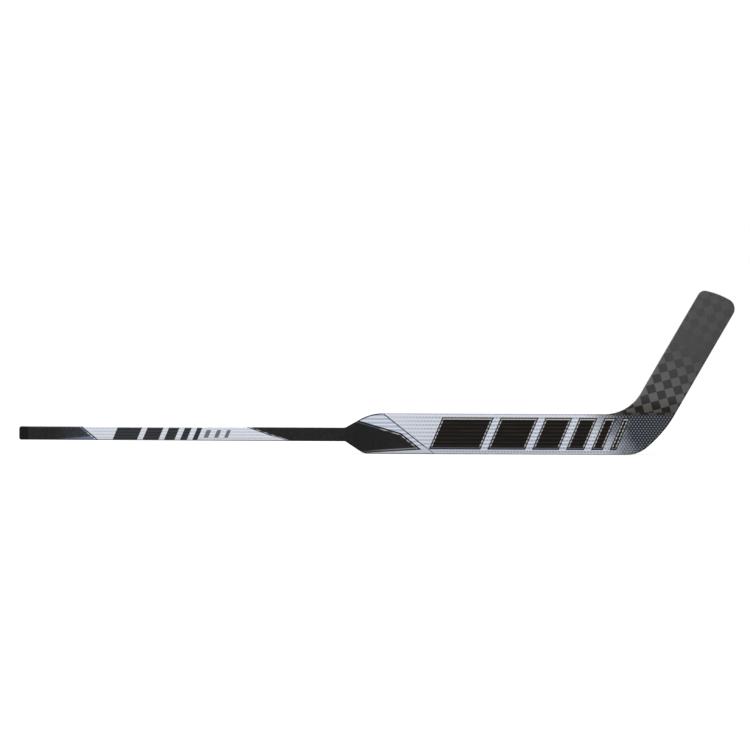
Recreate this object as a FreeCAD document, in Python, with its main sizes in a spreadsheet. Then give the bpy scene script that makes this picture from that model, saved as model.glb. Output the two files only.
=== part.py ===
import FreeCAD, Part
import math
import os
import re
import Sketcher

# Hockey goalie stick. Millimetres, +Z up, -Y is the front. The stick stands on the flat
# lower edge of its paddle, +X runs to the blade, and the origin is half way along the paddle.
sizes = {
    # whole stick
    "stick_depth": 20.0,         # handle, paddle and heel, front to back
    "edge_radius": 3.5,          # rounding along every long edge
    "skin_wall": 1.3,            # laminate of paddle and blade
    "bond_gap": 0.15,            # glue line round every inner piece
    "bore_corner": 1.2,          # bevel in the corners of the bores and of what fits them
    "overrun": 30.0,             # how far cutting shapes reach past the stick
    # handle
    "shaft_reach": 714.2,        # end of the cap to the start of the shoulder
    "shaft_width": 29.5,
    "shaft_rise": 27.15,         # lower side of the handle above the lower edge of the paddle
    "shaft_wall": 1.6,
    "throat_length": 25.0,       # paddle moulding past the shoulder, up to the handle tube
    # butt cap
    "cap_head": 20.0,
    "cap_bevel": 3.2,            # round the end face
    "cap_spigot": 38.0,
    "cap_spigot_wall": 2.4,
    "cap_fit": 0.5,              # spigot clear of the tube, closed by the crush ribs
    "cap_rib_length": 32.0,
    "cap_rib_width": 1.6,
    "cap_rib_wide": 7.5,         # ribs off the middle of the broad sides
    "cap_rib_narrow": 4.0,       # ribs off the middle of the narrow sides
    # joint between handle and paddle
    "tenon_in_shaft": 75.0,
    "tenon_in_spine": 70.0,
    "tenon_wall": 1.8,
    "tenon_lead": 0.8,           # chamfer at both ends
    # paddle
    "paddle_length": 671.3,      # start of the shoulder to the sharp corner of the heel
    "paddle_width": 88.9,
    "flare_top": 56.0,           # run of the upper shoulder along the stick
    "flare_low": 41.0,
    "throat_top_radius": 14.0,
    "throat_low_radius": 5.0,
    "shoulder_top_radius": 104.0,
    "shoulder_low_radius": 31.0,
    "spine_wall": 1.2,
    "core_nose": 14.0,           # the foam starts this far past the start of the shoulder
    # heel
    "heel_radius": 70.0,         # first half of the heel curve, from the paddle
    "sole_radius": 260.0,        # second half, into the sole
    "heel_turn": 40.0,           # degrees turned by the first half
    "heel_flat": 2.0,            # straight between the two halves
    "heel_inner_radius": 94.0,
    "blade_root": 120.0,         # sharp heel corner back to the joint of paddle and blade
    "heel_tongue": 60.0,         # heel block inside the paddle
    "heel_reach": 80.0,          # heel block along the blade, from the sharp heel corner
    "heel_spigot": 45.0,         # heel block inside the spine
    # blade
    "blade_angle": 60.3,
    "blade_length": 380.5,       # sharp heel corner to sharp toe corner, along the sole
    "blade_width": 87.6,
    "toe_crown_back": 2.2,       # middle of the crowned toe edge, back from the end of the sole
    "toe_crown_share": 0.56,     # where that middle is, as a share of the width
    "crown_run_share": 0.4,      # how much of the upper toe edge the crown takes up
    "toe_top_back": 12.3,        # upper end of the toe edge
    "toe_top_radius": 16.0,
    "toe_sole_radius": 23.0,
    "toe_depth": 8.5,            # thickness at the toe
    "curve_start": 110.0,        # where the blade starts to bend and thin
    "curve_depth": 16.0,         # the toe comes forward by this much
    "rib_thickness": 4.0,
    "rib_socket": 22.0,          # rib let into the heel block
    "toe_core_length": 85.0,
    # printed films and grip
    "film_thickness": 0.2,
    "film_margin": 1.5,          # bare rim along the edges of the paddle
    "shaft_print_start": 582.8,  # upper corner of the handle print, back from the shoulder
    "shaft_print_end": 204.0,
    "print_start_slant": 35.7,
    "print_end_slant": 86.0,
    "wedge_reach": 151.7,        # tip of the grip wedge on the paddle, from the shoulder
    "wedge_height": 14.5,
    "knee_reach": 119.6,
    "knee_height": 40.2,
    "wedge_top_reach": 7.2,
    "wedge_top_height": 73.1,
    "wedge_low_height": 6.3,
}

doc = FreeCAD.newDocument("goalie_stick")
sheet = doc.addObject("Spreadsheet::Sheet", "Sizes")
for row, (alias, size) in enumerate(sizes.items(), start=1):
    sheet.set(f"A{row}", alias)
    sheet.set(f"B{row}", str(size))
    sheet.setAlias(f"B{row}", alias)
doc.recompute()

heel_x = "(paddle_length / 2)"
shoulder_x = "(-paddle_length / 2)"
cap_seam_x = f"({shoulder_x} - shaft_reach + cap_head)"
throat_x = f"({shoulder_x} - throat_length)"
joint_x = f"({heel_x} - blade_root)"
shaft_top = "(shaft_rise + shaft_width)"
shaft_axis = "(shaft_rise + shaft_width / 2)"
half_depth = "(stick_depth / 2)"
span = "(shaft_reach + paddle_length + overrun)"
core_inset = "(skin_wall + bond_gap)"
spine_bore = f"({core_inset} + spine_wall)"
tongue_x = f"({joint_x} - heel_tongue)"
rib_low = "(blade_width / 2 - rib_thickness / 2)"
rib_top = "(blade_width / 2 + rib_thickness / 2)"
rib_end = "(blade_length - toe_core_length)"
corner_share = "(2 - sqrt(2))"   # a chamfer this share of a radius touches the rounding in its middle

broad_facing, rim_facing, along_facing = 0.7, 0.1, 0.95   # how squarely a face looks along an axis
same_place = 1e-6


def bound(text):
    # the same text with every size read from its cell
    return re.sub(r"[a-z_]+", lambda m: f"Sizes.{m[0]}" if m[0] in sizes else m[0], text)


def number(text):
    return float(sheet.evalExpression(text))


def bind(thing, **texts):
    for prop, text in texts.items():
        thing.setExpression(prop.replace("__", "."), bound(text))


def on_blade(along, across):
    # a point of the blade's own axes: along the sole from the heel corner, and across to the upper edge
    x = f"{heel_x} + ({along}) * cos(blade_angle) - ({across}) * sin(blade_angle)"
    z = f"({along}) * sin(blade_angle) + ({across}) * cos(blade_angle)"
    return x, z


def pin(sketch, geometry, point, x, y):
    # holds one point of a sketch at two sizes
    for kind, text in (("DistanceX", x), ("DistanceY", y)):
        index = sketch.addConstraint(Sketcher.Constraint(kind, -1, 1, geometry, point, number(text)))
        sketch.setExpression(f"Constraints[{index}]", bound(text))


def draw_outline(sketch, corners):
    # closed outline through the corners, anticlockwise, each (x, y, radius or None)
    points = [FreeCAD.Vector(number(x), number(y), 0) for x, y, radius in corners]
    count = len(corners)
    arrive, leave, arcs = [], [], []
    for i, (x, y, radius) in enumerate(corners):
        back = (points[i - 1] - points[i]).normalize()
        ahead = (points[(i + 1) % count] - points[i]).normalize()
        if radius is None:
            arrive.append(points[i])
            leave.append(points[i])
            arcs.append(None)
            continue
        turn = math.pi - back.getAngle(ahead)
        reach = number(radius) * math.tan(turn / 2)
        arrive.append(points[i] + back * reach)
        leave.append(points[i] + ahead * reach)
        centre = points[i] + (back + ahead).normalize() * (number(radius) / math.cos(turn / 2))
        left = back.cross(ahead).z < 0
        first, last = (arrive[i], leave[i]) if left else (leave[i], arrive[i])
        circle = Part.Circle(centre, FreeCAD.Vector(0, 0, 1), number(radius))
        arcs.append((Part.ArcOfCircle(circle, circle.parameter(first), circle.parameter(last)), left))
    lines = [sketch.addGeometry(Part.LineSegment(leave[i], arrive[(i + 1) % count])) for i in range(count)]
    for i, (x, y, radius) in enumerate(corners):
        before, after = lines[i - 1], lines[i]
        if radius is None:
            sketch.addConstraint(Sketcher.Constraint("Coincident", before, 2, after, 1))
            pin(sketch, after, 1, x, y)
            continue
        curve, left = arcs[i]
        arc = sketch.addGeometry(curve)
        enter, leaves = (1, 2) if left else (2, 1)
        sharp = sketch.addGeometry(Part.Point(points[i]), True)
        sketch.addConstraint([
            Sketcher.Constraint("Tangent", before, 2, arc, enter),
            Sketcher.Constraint("Tangent", arc, leaves, after, 1),
            Sketcher.Constraint("PointOnObject", sharp, 1, before),
            Sketcher.Constraint("PointOnObject", sharp, 1, after),
        ])
        index = sketch.addConstraint(Sketcher.Constraint("Radius", arc, number(radius)))
        sketch.setExpression(f"Constraints[{index}]", bound(radius))
        pin(sketch, sharp, 1, x, y)


def draw_bend(sketch, near, far):
    # a straight run that bends forward along the blade: from one depth at the heel to another at the toe
    start = FreeCAD.Vector(number("curve_start"), number(near), 0)
    end = FreeCAD.Vector(number("blade_length"), number(far), 0)
    fall = start.y - end.y
    radius = ((end.x - start.x) ** 2 + fall ** 2) / (2 * fall)
    circle = Part.Circle(start - FreeCAD.Vector(0, radius, 0), FreeCAD.Vector(0, 0, 1), radius)
    straight = sketch.addGeometry(Part.LineSegment(FreeCAD.Vector(-number(span), start.y, 0), start))
    arc = sketch.addGeometry(Part.ArcOfCircle(circle, circle.parameter(end), circle.parameter(start)))
    sketch.addConstraint(Sketcher.Constraint("Horizontal", straight))
    sketch.addConstraint(Sketcher.Constraint("Tangent", straight, 2, arc, 2))
    pin(sketch, straight, 2, "curve_start", near)
    pin(sketch, arc, 1, "blade_length", far)
    index = sketch.addConstraint(Sketcher.Constraint("DistanceX", -1, 1, straight, 1, -number(span)))
    sketch.setExpression(f"Constraints[{index}]", bound(f"-{span}"))
    return straight, arc


def side_sketch(name):
    # a sketch seen from the front: its axes are X and Z
    sketch = doc.addObject("Sketcher::SketchObject", name)
    sketch.Placement = FreeCAD.Placement(FreeCAD.Vector(), FreeCAD.Rotation(FreeCAD.Vector(1, 0, 0), 90))
    return sketch


def blade_sketch(name):
    # a sketch seen along the width of the blade: its axes are the sole and Y
    sketch = doc.addObject("Sketcher::SketchObject", name)
    turn = FreeCAD.Rotation(FreeCAD.Vector(0, -1, 0), number("blade_angle"))
    sketch.Placement = FreeCAD.Placement(FreeCAD.Vector(number(heel_x), 0, 0), turn)
    bind(sketch, Placement__Base__x=heel_x, Placement__Rotation__Angle="blade_angle")
    return sketch


def prism(name, base, ahead, behind):
    solid = doc.addObject("Part::Extrusion", name)
    solid.Base = base
    solid.DirMode = "Normal"
    solid.Solid = True
    bind(solid, LengthFwd=ahead, LengthRev=behind)
    return solid


def outline_sketch(name, amount):
    # outline of the whole stick from the front, grown or shrunk all round by one amount
    end_x = f"({shoulder_x} - shaft_reach - overrun)"
    rest = "(blade_angle - heel_turn)"
    facet = f"(heel_radius * tan(heel_turn / 2) + sole_radius * tan({rest} / 2) + heel_flat)"
    heel_back = f"{facet} * sin({rest}) / sin(blade_angle)"
    heel_up = on_blade(f"{facet} * sin(heel_turn) / sin(blade_angle)", "0")
    inner = "(paddle_width - blade_width * cos(blade_angle)) / sin(blade_angle)"
    crown_height = "(toe_crown_share * blade_width)"
    top_run, top_rise = "(toe_top_back - toe_crown_back)", f"(blade_width - {crown_height})"
    low_lean, top_lean = f"atan(toe_crown_back / {crown_height})", f"atan({top_run} / {top_rise})"
    crown_run = f"crown_run_share * sqrt({top_run} ^ 2 + {top_rise} ^ 2)"
    crown_radius = f"({crown_run} / tan(({top_lean} - {low_lean}) / 2))"
    crown = on_blade("blade_length - toe_crown_back", crown_height)
    sole = "blade_angle * 1 deg"
    # each corner, the radius that rounds it, and the direction of the edge after it
    path = [
        (end_x, "shaft_rise", None, "0 deg"),
        (shoulder_x, "shaft_rise", "throat_low_radius", "-atan(shaft_rise / flare_low)"),
        (f"{shoulder_x} + flare_low", "0", "shoulder_low_radius", "0 deg"),
        (f"{heel_x} - {heel_back}", "0", "heel_radius", "heel_turn * 1 deg"),
        (*heel_up, "sole_radius", sole),
        (*on_blade("blade_length", "0"), "toe_sole_radius", f"{sole} + 90 deg + {low_lean}"),
        (*crown, crown_radius, f"{sole} + 90 deg + {top_lean}"),
        (*on_blade("blade_length - toe_top_back", "blade_width"), "toe_top_radius", f"{sole} + 180 deg"),
        (on_blade(inner, "blade_width")[0], "paddle_width", "heel_inner_radius", "180 deg"),
        (f"{shoulder_x} + flare_top", "paddle_width", "shoulder_top_radius",
         f"180 deg + atan((paddle_width - {shaft_top}) / flare_top)"),
        (shoulder_x, shaft_top, "throat_top_radius", "180 deg"),
        (end_x, shaft_top, None, "270 deg"),
    ]
    sketch = side_sketch(name)
    before = "-90 deg"
    corners = []
    for x, z, radius, after in path:
        middle, half = f"(({before}) + ({after})) / 2", f"((({after}) - ({before})) / 2)"
        grown_x = f"{x} + ({amount}) * sin({middle}) / cos({half})"
        grown_z = f"{z} - ({amount}) * cos({middle}) / cos({half})"
        if radius is not None:
            hollow = radius in ("throat_low_radius", "heel_inner_radius", "throat_top_radius")
            radius = f"({radius} - ({amount}))" if hollow else f"({radius} + ({amount}))"
        corners.append((grown_x, grown_z, radius))
        before = after
    draw_outline(sketch, corners)
    return sketch


def plan_sketch(name, amount):
    # how thick the stick is, seen along the width of the blade
    sketch = blade_sketch(name)
    half, toe_half = f"({half_depth} + ({amount}))", f"(toe_depth / 2 + ({amount}))"
    front, front_arc = draw_bend(sketch, f"-{half}", f"-curve_depth - {toe_half}")
    back, back_arc = draw_bend(sketch, half, f"-curve_depth + {toe_half}")
    ends = sketch.Geometry
    toe = sketch.addGeometry(Part.LineSegment(ends[front_arc].StartPoint, ends[back_arc].StartPoint))
    butt = sketch.addGeometry(Part.LineSegment(ends[back].StartPoint, ends[front].StartPoint))
    sketch.addConstraint([
        Sketcher.Constraint("Coincident", toe, 1, front_arc, 1),
        Sketcher.Constraint("Coincident", toe, 2, back_arc, 1),
        Sketcher.Constraint("Coincident", butt, 1, back, 1),
        Sketcher.Constraint("Coincident", butt, 2, front, 1),
    ])
    return sketch


def parting_sketch():
    # everything in front of the mid surface, where the two mouldings meet
    sketch = blade_sketch("front_half")
    middle, middle_arc = draw_bend(sketch, "0", "-curve_depth")
    ends = sketch.Geometry
    low = -number("stick_depth + curve_depth")
    toe_end, butt_end = ends[middle_arc].StartPoint, ends[middle].StartPoint
    toe_low, butt_low = FreeCAD.Vector(toe_end.x, low, 0), FreeCAD.Vector(butt_end.x, low, 0)
    toe = sketch.addGeometry(Part.LineSegment(toe_end, toe_low))
    front = sketch.addGeometry(Part.LineSegment(toe_low, butt_low))
    butt = sketch.addGeometry(Part.LineSegment(butt_low, butt_end))
    sketch.addConstraint([
        Sketcher.Constraint("Coincident", toe, 1, middle_arc, 1),
        Sketcher.Constraint("Coincident", toe, 2, front, 1),
        Sketcher.Constraint("Coincident", front, 2, butt, 1),
        Sketcher.Constraint("Coincident", butt, 2, middle, 1),
        Sketcher.Constraint("Vertical", toe),
        Sketcher.Constraint("Horizontal", front),
    ])
    pin(sketch, butt, 1, f"-{span}", "-stick_depth - curve_depth")
    return sketch


def long_edges(shape, open_end):
    # the edges between a broad face and the rim, without those at the open end
    names = []
    for index, edge in enumerate(shape.Edges, start=1):
        middle = edge.valueAt((edge.FirstParameter + edge.LastParameter) / 2)
        facing = []
        for face in shape.ancestorsOfType(edge, Part.Face):
            facing.append(face.normalAt(*face.Surface.parameter(middle)))
        broad = [n for n in facing if abs(n.y) > broad_facing]
        rim = [n for n in facing if abs(n.y) < rim_facing and n.dot(open_end) < along_facing]
        if broad and rim:
            names.append(f"Edge{index}")
    return names


def stick_form(name, amount, inside=False):
    # the whole stick as one solid, grown or shrunk by one amount: rounded edges, or bevelled inside
    outline = outline_sketch(f"{name}_outline", amount)
    plan = plan_sketch(f"{name}_plan", amount)
    doc.recompute()
    slab = prism(f"{name}_slab", outline, "stick_depth + curve_depth", "stick_depth + curve_depth")
    curve = prism(f"{name}_curve", plan, span, span)
    blank = doc.addObject("Part::Common", f"{name}_blank")
    blank.Base = slab
    blank.Tool = curve
    doc.recompute()
    body = doc.addObject("PartDesign::Body", name)
    body.BaseFeature = blank
    doc.recompute()
    base = body.Tip
    radius = f"(edge_radius + ({amount}))"
    kind = "Chamfer" if inside else "Fillet"
    edging = body.newObject(f"PartDesign::{kind}", f"{name}_edging")
    edging.Base = (base, long_edges(base.Shape, FreeCAD.Vector(-1, 0, 0)))
    if inside:
        bind(edging, Size=f"{corner_share} * {radius}")
    else:
        bind(edging, Radius=radius)
    body.Tip = edging
    doc.recompute()
    return body


def box(name, x, z):
    # cuts through the whole depth, between two limits in X and two in Z
    solid = doc.addObject("Part::Box", name)
    bind(solid, Length=f"({x[1]}) - ({x[0]})", Width="2 * (stick_depth + curve_depth)",
         Height=f"({z[1]}) - ({z[0]})", Placement__Base__x=x[0],
         Placement__Base__y="-stick_depth - curve_depth", Placement__Base__z=z[0])
    return solid


def blade_box(name, along, across):
    # the same in the axes of the blade
    solid = doc.addObject("Part::Box", name)
    solid.Placement.Rotation = FreeCAD.Rotation(FreeCAD.Vector(0, -1, 0), number("blade_angle"))
    x, z = on_blade(along[0], across[0])
    bind(solid, Length=f"({along[1]}) - ({along[0]})", Width="2 * (stick_depth + curve_depth)",
         Height=f"({across[1]}) - ({across[0]})", Placement__Base__x=x,
         Placement__Base__y="-stick_depth - curve_depth", Placement__Base__z=z,
         Placement__Rotation__Angle="blade_angle")
    return solid


def boolean(kind, name, base, tool):
    result = doc.addObject(f"Part::{kind}", name)
    result.Base = base
    result.Tool = tool
    return result


def body_sketch(body, name, plane):
    sketch = body.newObject("Sketcher::SketchObject", name)
    support = [f for f in body.Origin.OriginFeatures if f.Role == plane][0]
    sketch.AttachmentSupport = (support, [""])
    sketch.MapMode = "FlatFace"
    return sketch


def section_half(inset):
    # half the depth and half the width of the handle, smaller all round by the inset
    return f"(stick_depth / 2 - ({inset}))", f"(shaft_width / 2 - ({inset}))"


def draw_section(sketch, inset, bevel):
    # cross-section of the handle with bevelled corners
    y, z = section_half(inset)
    near_y, near_z = f"({y} - {bevel})", f"({z} - {bevel})"
    corners = [(f"-{near_y}", f"-{z}"), (near_y, f"-{z}"), (y, f"-{near_z}"), (y, near_z),
               (near_y, z), (f"-{near_y}", z), (f"-{y}", near_z), (f"-{y}", f"-{near_z}")]
    draw_outline(sketch, [(*corner, None) for corner in corners])


def draw_rounded_section(sketch):
    # outside of the handle
    y, z = section_half("0")
    corners = [(f"-{y}", f"-{z}"), (y, f"-{z}"), (y, z), (f"-{y}", z)]
    draw_outline(sketch, [(*corner, "edge_radius") for corner in corners])


def pad(body, sketch, length):
    feature = body.newObject("PartDesign::Pad", f"{sketch.Name}_pad")
    feature.Profile = sketch
    bind(feature, Length=length)
    body.Tip = feature
    return feature


def handle_body(name, x):
    body = doc.addObject("PartDesign::Body", name)
    bind(body, Placement__Base__x=x, Placement__Base__z=shaft_axis)
    return body


def shaft_tube():
    body = handle_body("shaft_tube", cap_seam_x)
    sketch = body_sketch(body, "tube_section", "YZ_Plane")
    draw_rounded_section(sketch)
    draw_section(sketch, "shaft_wall", "bore_corner")
    pad(body, sketch, f"{throat_x} - {cap_seam_x}")
    return body


def paddle_spine():
    body = handle_body("paddle_spine", throat_x)
    sketch = body_sketch(body, "spine_section", "YZ_Plane")
    draw_section(sketch, core_inset, f"{corner_share} * (edge_radius - {core_inset})")
    draw_section(sketch, spine_bore, "bore_corner")
    pad(body, sketch, f"{tongue_x} - bond_gap - {throat_x}")
    return body


def shaft_tenon():
    # wide in the handle tube, narrow in the spine, hollow all through
    body = handle_body("shaft_tenon", f"{throat_x} - bond_gap")
    wide = body_sketch(body, "tenon_wide", "YZ_Plane")
    draw_section(wide, "shaft_wall + bond_gap", "bore_corner")
    pad(body, wide, "tenon_in_shaft").Reversed = True
    narrow = body_sketch(body, "tenon_narrow", "YZ_Plane")
    draw_section(narrow, f"{spine_bore} + bond_gap", "bore_corner")
    pad(body, narrow, "tenon_in_spine")
    bore = body_sketch(body, "tenon_bore", "YZ_Plane")
    draw_section(bore, f"{spine_bore} + bond_gap + tenon_wall", "bore_corner")
    hollow = body.newObject("PartDesign::Pocket", "tenon_hollow")
    hollow.Profile = bore
    hollow.Type = "ThroughAll"
    hollow.Midplane = True
    body.Tip = hollow
    doc.recompute()
    lead = body.newObject("PartDesign::Chamfer", "tenon_lead_in")
    limits = hollow.Shape.BoundBox
    lead.Base = (hollow, rim_edges(hollow.Shape, limits.XMin) + rim_edges(hollow.Shape, limits.XMax))
    bind(lead, Size="tenon_lead")
    body.Tip = lead
    return body


def rim_edges(shape, x):
    # outer edges of the end face at one X
    names = []
    for face in shape.Faces:
        if abs(face.BoundBox.XMin - x) > same_place or abs(face.BoundBox.XMax - x) > same_place:
            continue
        for edge in face.OuterWire.Edges:
            names += [f"Edge{i}" for i, e in enumerate(shape.Edges, start=1) if e.isSame(edge)]
    return names


def draw_rectangle(sketch, y, z):
    draw_outline(sketch, [(y[0], z[0], None), (y[1], z[0], None), (y[1], z[1], None), (y[0], z[1], None)])


def draw_crush_ribs(sketch):
    # two ribs on each side of the spigot, from inside its wall out to the bore of the tube
    root_y, root_z = section_half("shaft_wall + cap_fit + cap_spigot_wall / 2")
    tip_y, tip_z = section_half("shaft_wall + bond_gap")
    half = "cap_rib_width / 2"
    for end in ("", "-"):
        for way in ("", "-"):
            wide = (f"{way}cap_rib_wide - {half}", f"{way}cap_rib_wide + {half}")
            narrow = (f"{way}cap_rib_narrow - {half}", f"{way}cap_rib_narrow + {half}")
            draw_rectangle(sketch, (f"{end}{root_y}", f"{end}{tip_y}"), wide)
            draw_rectangle(sketch, narrow, (f"{end}{root_z}", f"{end}{tip_z}"))


def butt_cap():
    body = handle_body("butt_cap", cap_seam_x)
    outer = body_sketch(body, "cap_section", "YZ_Plane")
    draw_rounded_section(outer)
    head = pad(body, outer, "cap_head")
    head.Reversed = True
    doc.recompute()
    end = body.newObject("PartDesign::Chamfer", "cap_end")
    end.Base = (head, rim_edges(head.Shape, head.Shape.BoundBox.XMin))
    bind(end, Size="cap_bevel")
    body.Tip = end
    spigot = body_sketch(body, "cap_spigot_section", "YZ_Plane")
    draw_section(spigot, "shaft_wall + cap_fit", "bore_corner")
    pad(body, spigot, "cap_spigot")
    ribs = body_sketch(body, "cap_rib_sections", "YZ_Plane")
    draw_crush_ribs(ribs)
    pad(body, ribs, "cap_rib_length")
    hollow = body_sketch(body, "cap_hollow_section", "YZ_Plane")
    draw_section(hollow, "shaft_wall + cap_fit + cap_spigot_wall", "bore_corner")
    pocket = body.newObject("PartDesign::Pocket", "cap_hollow")
    pocket.Profile = hollow
    pocket.Reversed = True
    bind(pocket, Length="cap_spigot")
    body.Tip = pocket
    return body


def heel_block(core):
    # fills the heel, with a spigot for the spine and a slot for the blade rib
    zone = box("heel_zone", (tongue_x, span), ("-overrun", span))
    past = blade_box("past_heel", ("heel_reach", "blade_length + overrun"),
                     ("-overrun", "blade_width + overrun"))
    slot = blade_box("rib_slot", ("heel_reach - rib_socket - bond_gap", "blade_length"),
                     (f"{rib_low} - bond_gap", f"{rib_top} + bond_gap"))
    spigot = handle_body("heel_spigot_form", f"{tongue_x} - heel_spigot")
    section = body_sketch(spigot, "heel_spigot_section", "YZ_Plane")
    draw_section(section, f"{spine_bore} + bond_gap", "bore_corner")
    pad(spigot, section, "2 * heel_spigot")
    blank = boolean("Common", "heel_blank", core, zone)
    short = boolean("Cut", "heel_short", blank, past)
    slotted = boolean("Cut", "heel_slotted", short, slot)
    return boolean("Fuse", "heel_block", slotted, spigot)


def paddle_cores(core):
    x = (f"{shoulder_x} + core_nose", f"{tongue_x} - bond_gap")
    above = box("above_spine", x, (f"{shaft_top} - {core_inset} + bond_gap", "paddle_width + overrun"))
    below = box("below_spine", x, ("-overrun", f"shaft_rise + {core_inset} - bond_gap"))
    zones = (("paddle_core_upper", above), ("paddle_core_lower", below))
    return [boolean("Common", name, core, zone) for name, zone in zones]


def blade_inside(core):
    along = ("heel_reach + bond_gap", rib_end)
    rib = blade_box("rib_zone", ("heel_reach - rib_socket", rib_end), (rib_low, rib_top))
    upper = blade_box("blade_upper_zone", along, (f"{rib_top} + bond_gap", "blade_width + overrun"))
    lower = blade_box("blade_lower_zone", along, ("-overrun", f"{rib_low} - bond_gap"))
    toe = blade_box("blade_toe_zone", (f"{rib_end} + bond_gap", "blade_length + overrun"),
                    ("-overrun", "blade_width + overrun"))
    zones = (("blade_rib", rib), ("blade_core_upper", upper), ("blade_core_lower", lower),
             ("blade_core_toe", toe))
    return [boolean("Common", name, core, zone) for name, zone in zones]


def mouldings(outer, cavity, front_half):
    shell = boolean("Cut", "whole_shell", outer, cavity)
    front = boolean("Common", "front_shell", shell, front_half)
    back = boolean("Cut", "back_shell", shell, front_half)
    paddle = box("paddle_zone", (throat_x, joint_x), ("-overrun", span))
    blade = box("blade_zone", (joint_x, span), ("-overrun", span))
    return [
        boolean("Common", "paddle_front_shell", front, paddle),
        boolean("Common", "paddle_back_shell", back, paddle),
        boolean("Common", "blade_front_skin", front, blade),
        boolean("Common", "blade_back_skin", back, blade),
    ]


def slant(start, lean, z):
    # X of a slanted print edge at one height; the edge leans along the stick by one amount over the handle
    return f"{shoulder_x} - {start} + {lean} * ({shaft_top} - ({z})) / shaft_width"


def films(outer, film):
    skin = boolean("Cut", "whole_skin", film, outer)
    high = f"({shaft_top} + film_margin)"
    low = "(shaft_rise - film_margin)"
    depth = "stick_depth + curve_depth"
    print_area = side_sketch("shaft_print")
    draw_outline(print_area, [
        (slant("shaft_print_start", "print_start_slant", low), low, None),
        (slant("shaft_print_end", "print_end_slant", low), low, None),
        (slant("shaft_print_end", "print_end_slant", high), high, None),
        (slant("shaft_print_start", "print_start_slant", high), high, None),
    ])
    grip_area = side_sketch("grip_area")
    draw_outline(grip_area, [
        (slant("shaft_print_end", "print_end_slant", low), low, None),
        (shoulder_x, "shaft_rise - wedge_low_height", None),
        (f"{shoulder_x} + flare_low / 2", "wedge_low_height", None),
        (f"{shoulder_x} + wedge_reach", "wedge_height", None),
        (f"{shoulder_x} + knee_reach", "knee_height", None),
        (f"{shoulder_x} + wedge_top_reach", "wedge_top_height", None),
        (slant("shaft_print_end", "print_end_slant", high), high, None),
    ])
    shaft_zone = prism("shaft_print_zone", print_area, depth, depth)
    grip_zone = prism("grip_zone", grip_area, depth, depth)
    face = outline_sketch("face_outline", "-film_margin")
    strip = box("face_strip", (shoulder_x, span), ("-overrun", "paddle_width - film_margin"))
    pieces = [boolean("Common", "shaft_film", skin, shaft_zone)]
    pieces.append(boolean("Common", "throat_grip", skin, grip_zone))
    for side, ahead, behind in (("front", depth, "0"), ("back", "0", depth)):
        half = prism(f"face_{side}", face, ahead, behind)
        zone = boolean("Common", f"print_{side}", half, strip)
        sheet_area = boolean("Cut", f"print_{side}_open", zone, grip_zone)
        pieces.append(boolean("Common", f"paddle_film_{side}", skin, sheet_area))
    return pieces


outer = stick_form("outer_form", "0")
cavity = stick_form("cavity_form", "-skin_wall", inside=True)
core = stick_form("core_form", f"-{core_inset}", inside=True)
film = stick_form("film_form", "film_thickness")
front_half = prism("front_half_zone", parting_sketch(), span, span)

pieces = [butt_cap(), shaft_tube(), shaft_tenon(), paddle_spine(), heel_block(core)]
pieces += mouldings(outer, cavity, front_half)
pieces += paddle_cores(core)
pieces += blade_inside(core)
pieces += films(outer, film)
doc.recompute()

os.makedirs("parts", exist_ok=True)
for thing in doc.Objects:
    if "Invalid" in thing.State or "Error" in thing.State:
        raise RuntimeError(f"{thing.Name} did not build")
for piece in pieces:
    piece.Label = piece.Name
    if piece.Shape.isNull() or not piece.Shape.isValid() or len(piece.Shape.Solids) != 1:
        raise RuntimeError(f"{piece.Label} is not one sound solid")
    piece.Shape.exportStep(f"parts/{piece.Label}.step")
    limits = piece.Shape.BoundBox
    corners = (limits.XMin, limits.XMax, limits.YMin, limits.YMax, limits.ZMin, limits.ZMax)
    print(piece.Label, len(piece.Shape.Faces), "faces", [round(c, 1) for c in corners])
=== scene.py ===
import math
import bpy
import numpy as np
from mathutils import Matrix

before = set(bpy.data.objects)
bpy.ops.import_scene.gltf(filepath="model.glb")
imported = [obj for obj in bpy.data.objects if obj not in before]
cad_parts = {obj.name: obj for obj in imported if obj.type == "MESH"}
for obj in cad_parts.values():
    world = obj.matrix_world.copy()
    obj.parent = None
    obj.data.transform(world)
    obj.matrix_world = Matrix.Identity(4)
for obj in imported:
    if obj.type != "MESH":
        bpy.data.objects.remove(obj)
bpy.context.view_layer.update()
print("stick loaded:", len(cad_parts), "pieces")

scene = bpy.context.scene
scene.view_settings.view_transform = "Standard"
metre = 1000.0  # settings on the stick are in millimetres
softEdge = 0.3  # blur of an edge that names none
bumpStrength = 0.6


# lowest and highest corner of a piece, in millimetres
def boxOf(name):
    corners = np.array(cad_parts[name].bound_box) * metre
    return corners.min(axis=0).tolist(), corners.max(axis=0).tolist()


buttX = boxOf("butt_cap")[0][0]
handleLow, handleTop = [corner[2] for corner in boxOf("shaft_tube")]
paddleLow, paddleTop = [corner[2] for corner in boxOf("paddle_front_shell")]


# display colour, 0 to 255, as the linear colour that a shader takes
def srgb(red, green, blue):
    share = np.array((red, green, blue)) / 255
    linear = np.where(share <= 0.04045, share / 12.92, ((share + 0.055) / 1.055) ** 2.4)
    return (*linear.tolist(), 1.0)


# links a field or socket to a slot, or sets the slot to a plain number or colour
def feed(tree, slot, item):
    if isinstance(item, Field):
        tree.links.new(item.socket, slot)
    elif isinstance(item, bpy.types.NodeSocket):
        tree.links.new(item, slot)
    else:
        slot.default_value = item


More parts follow.
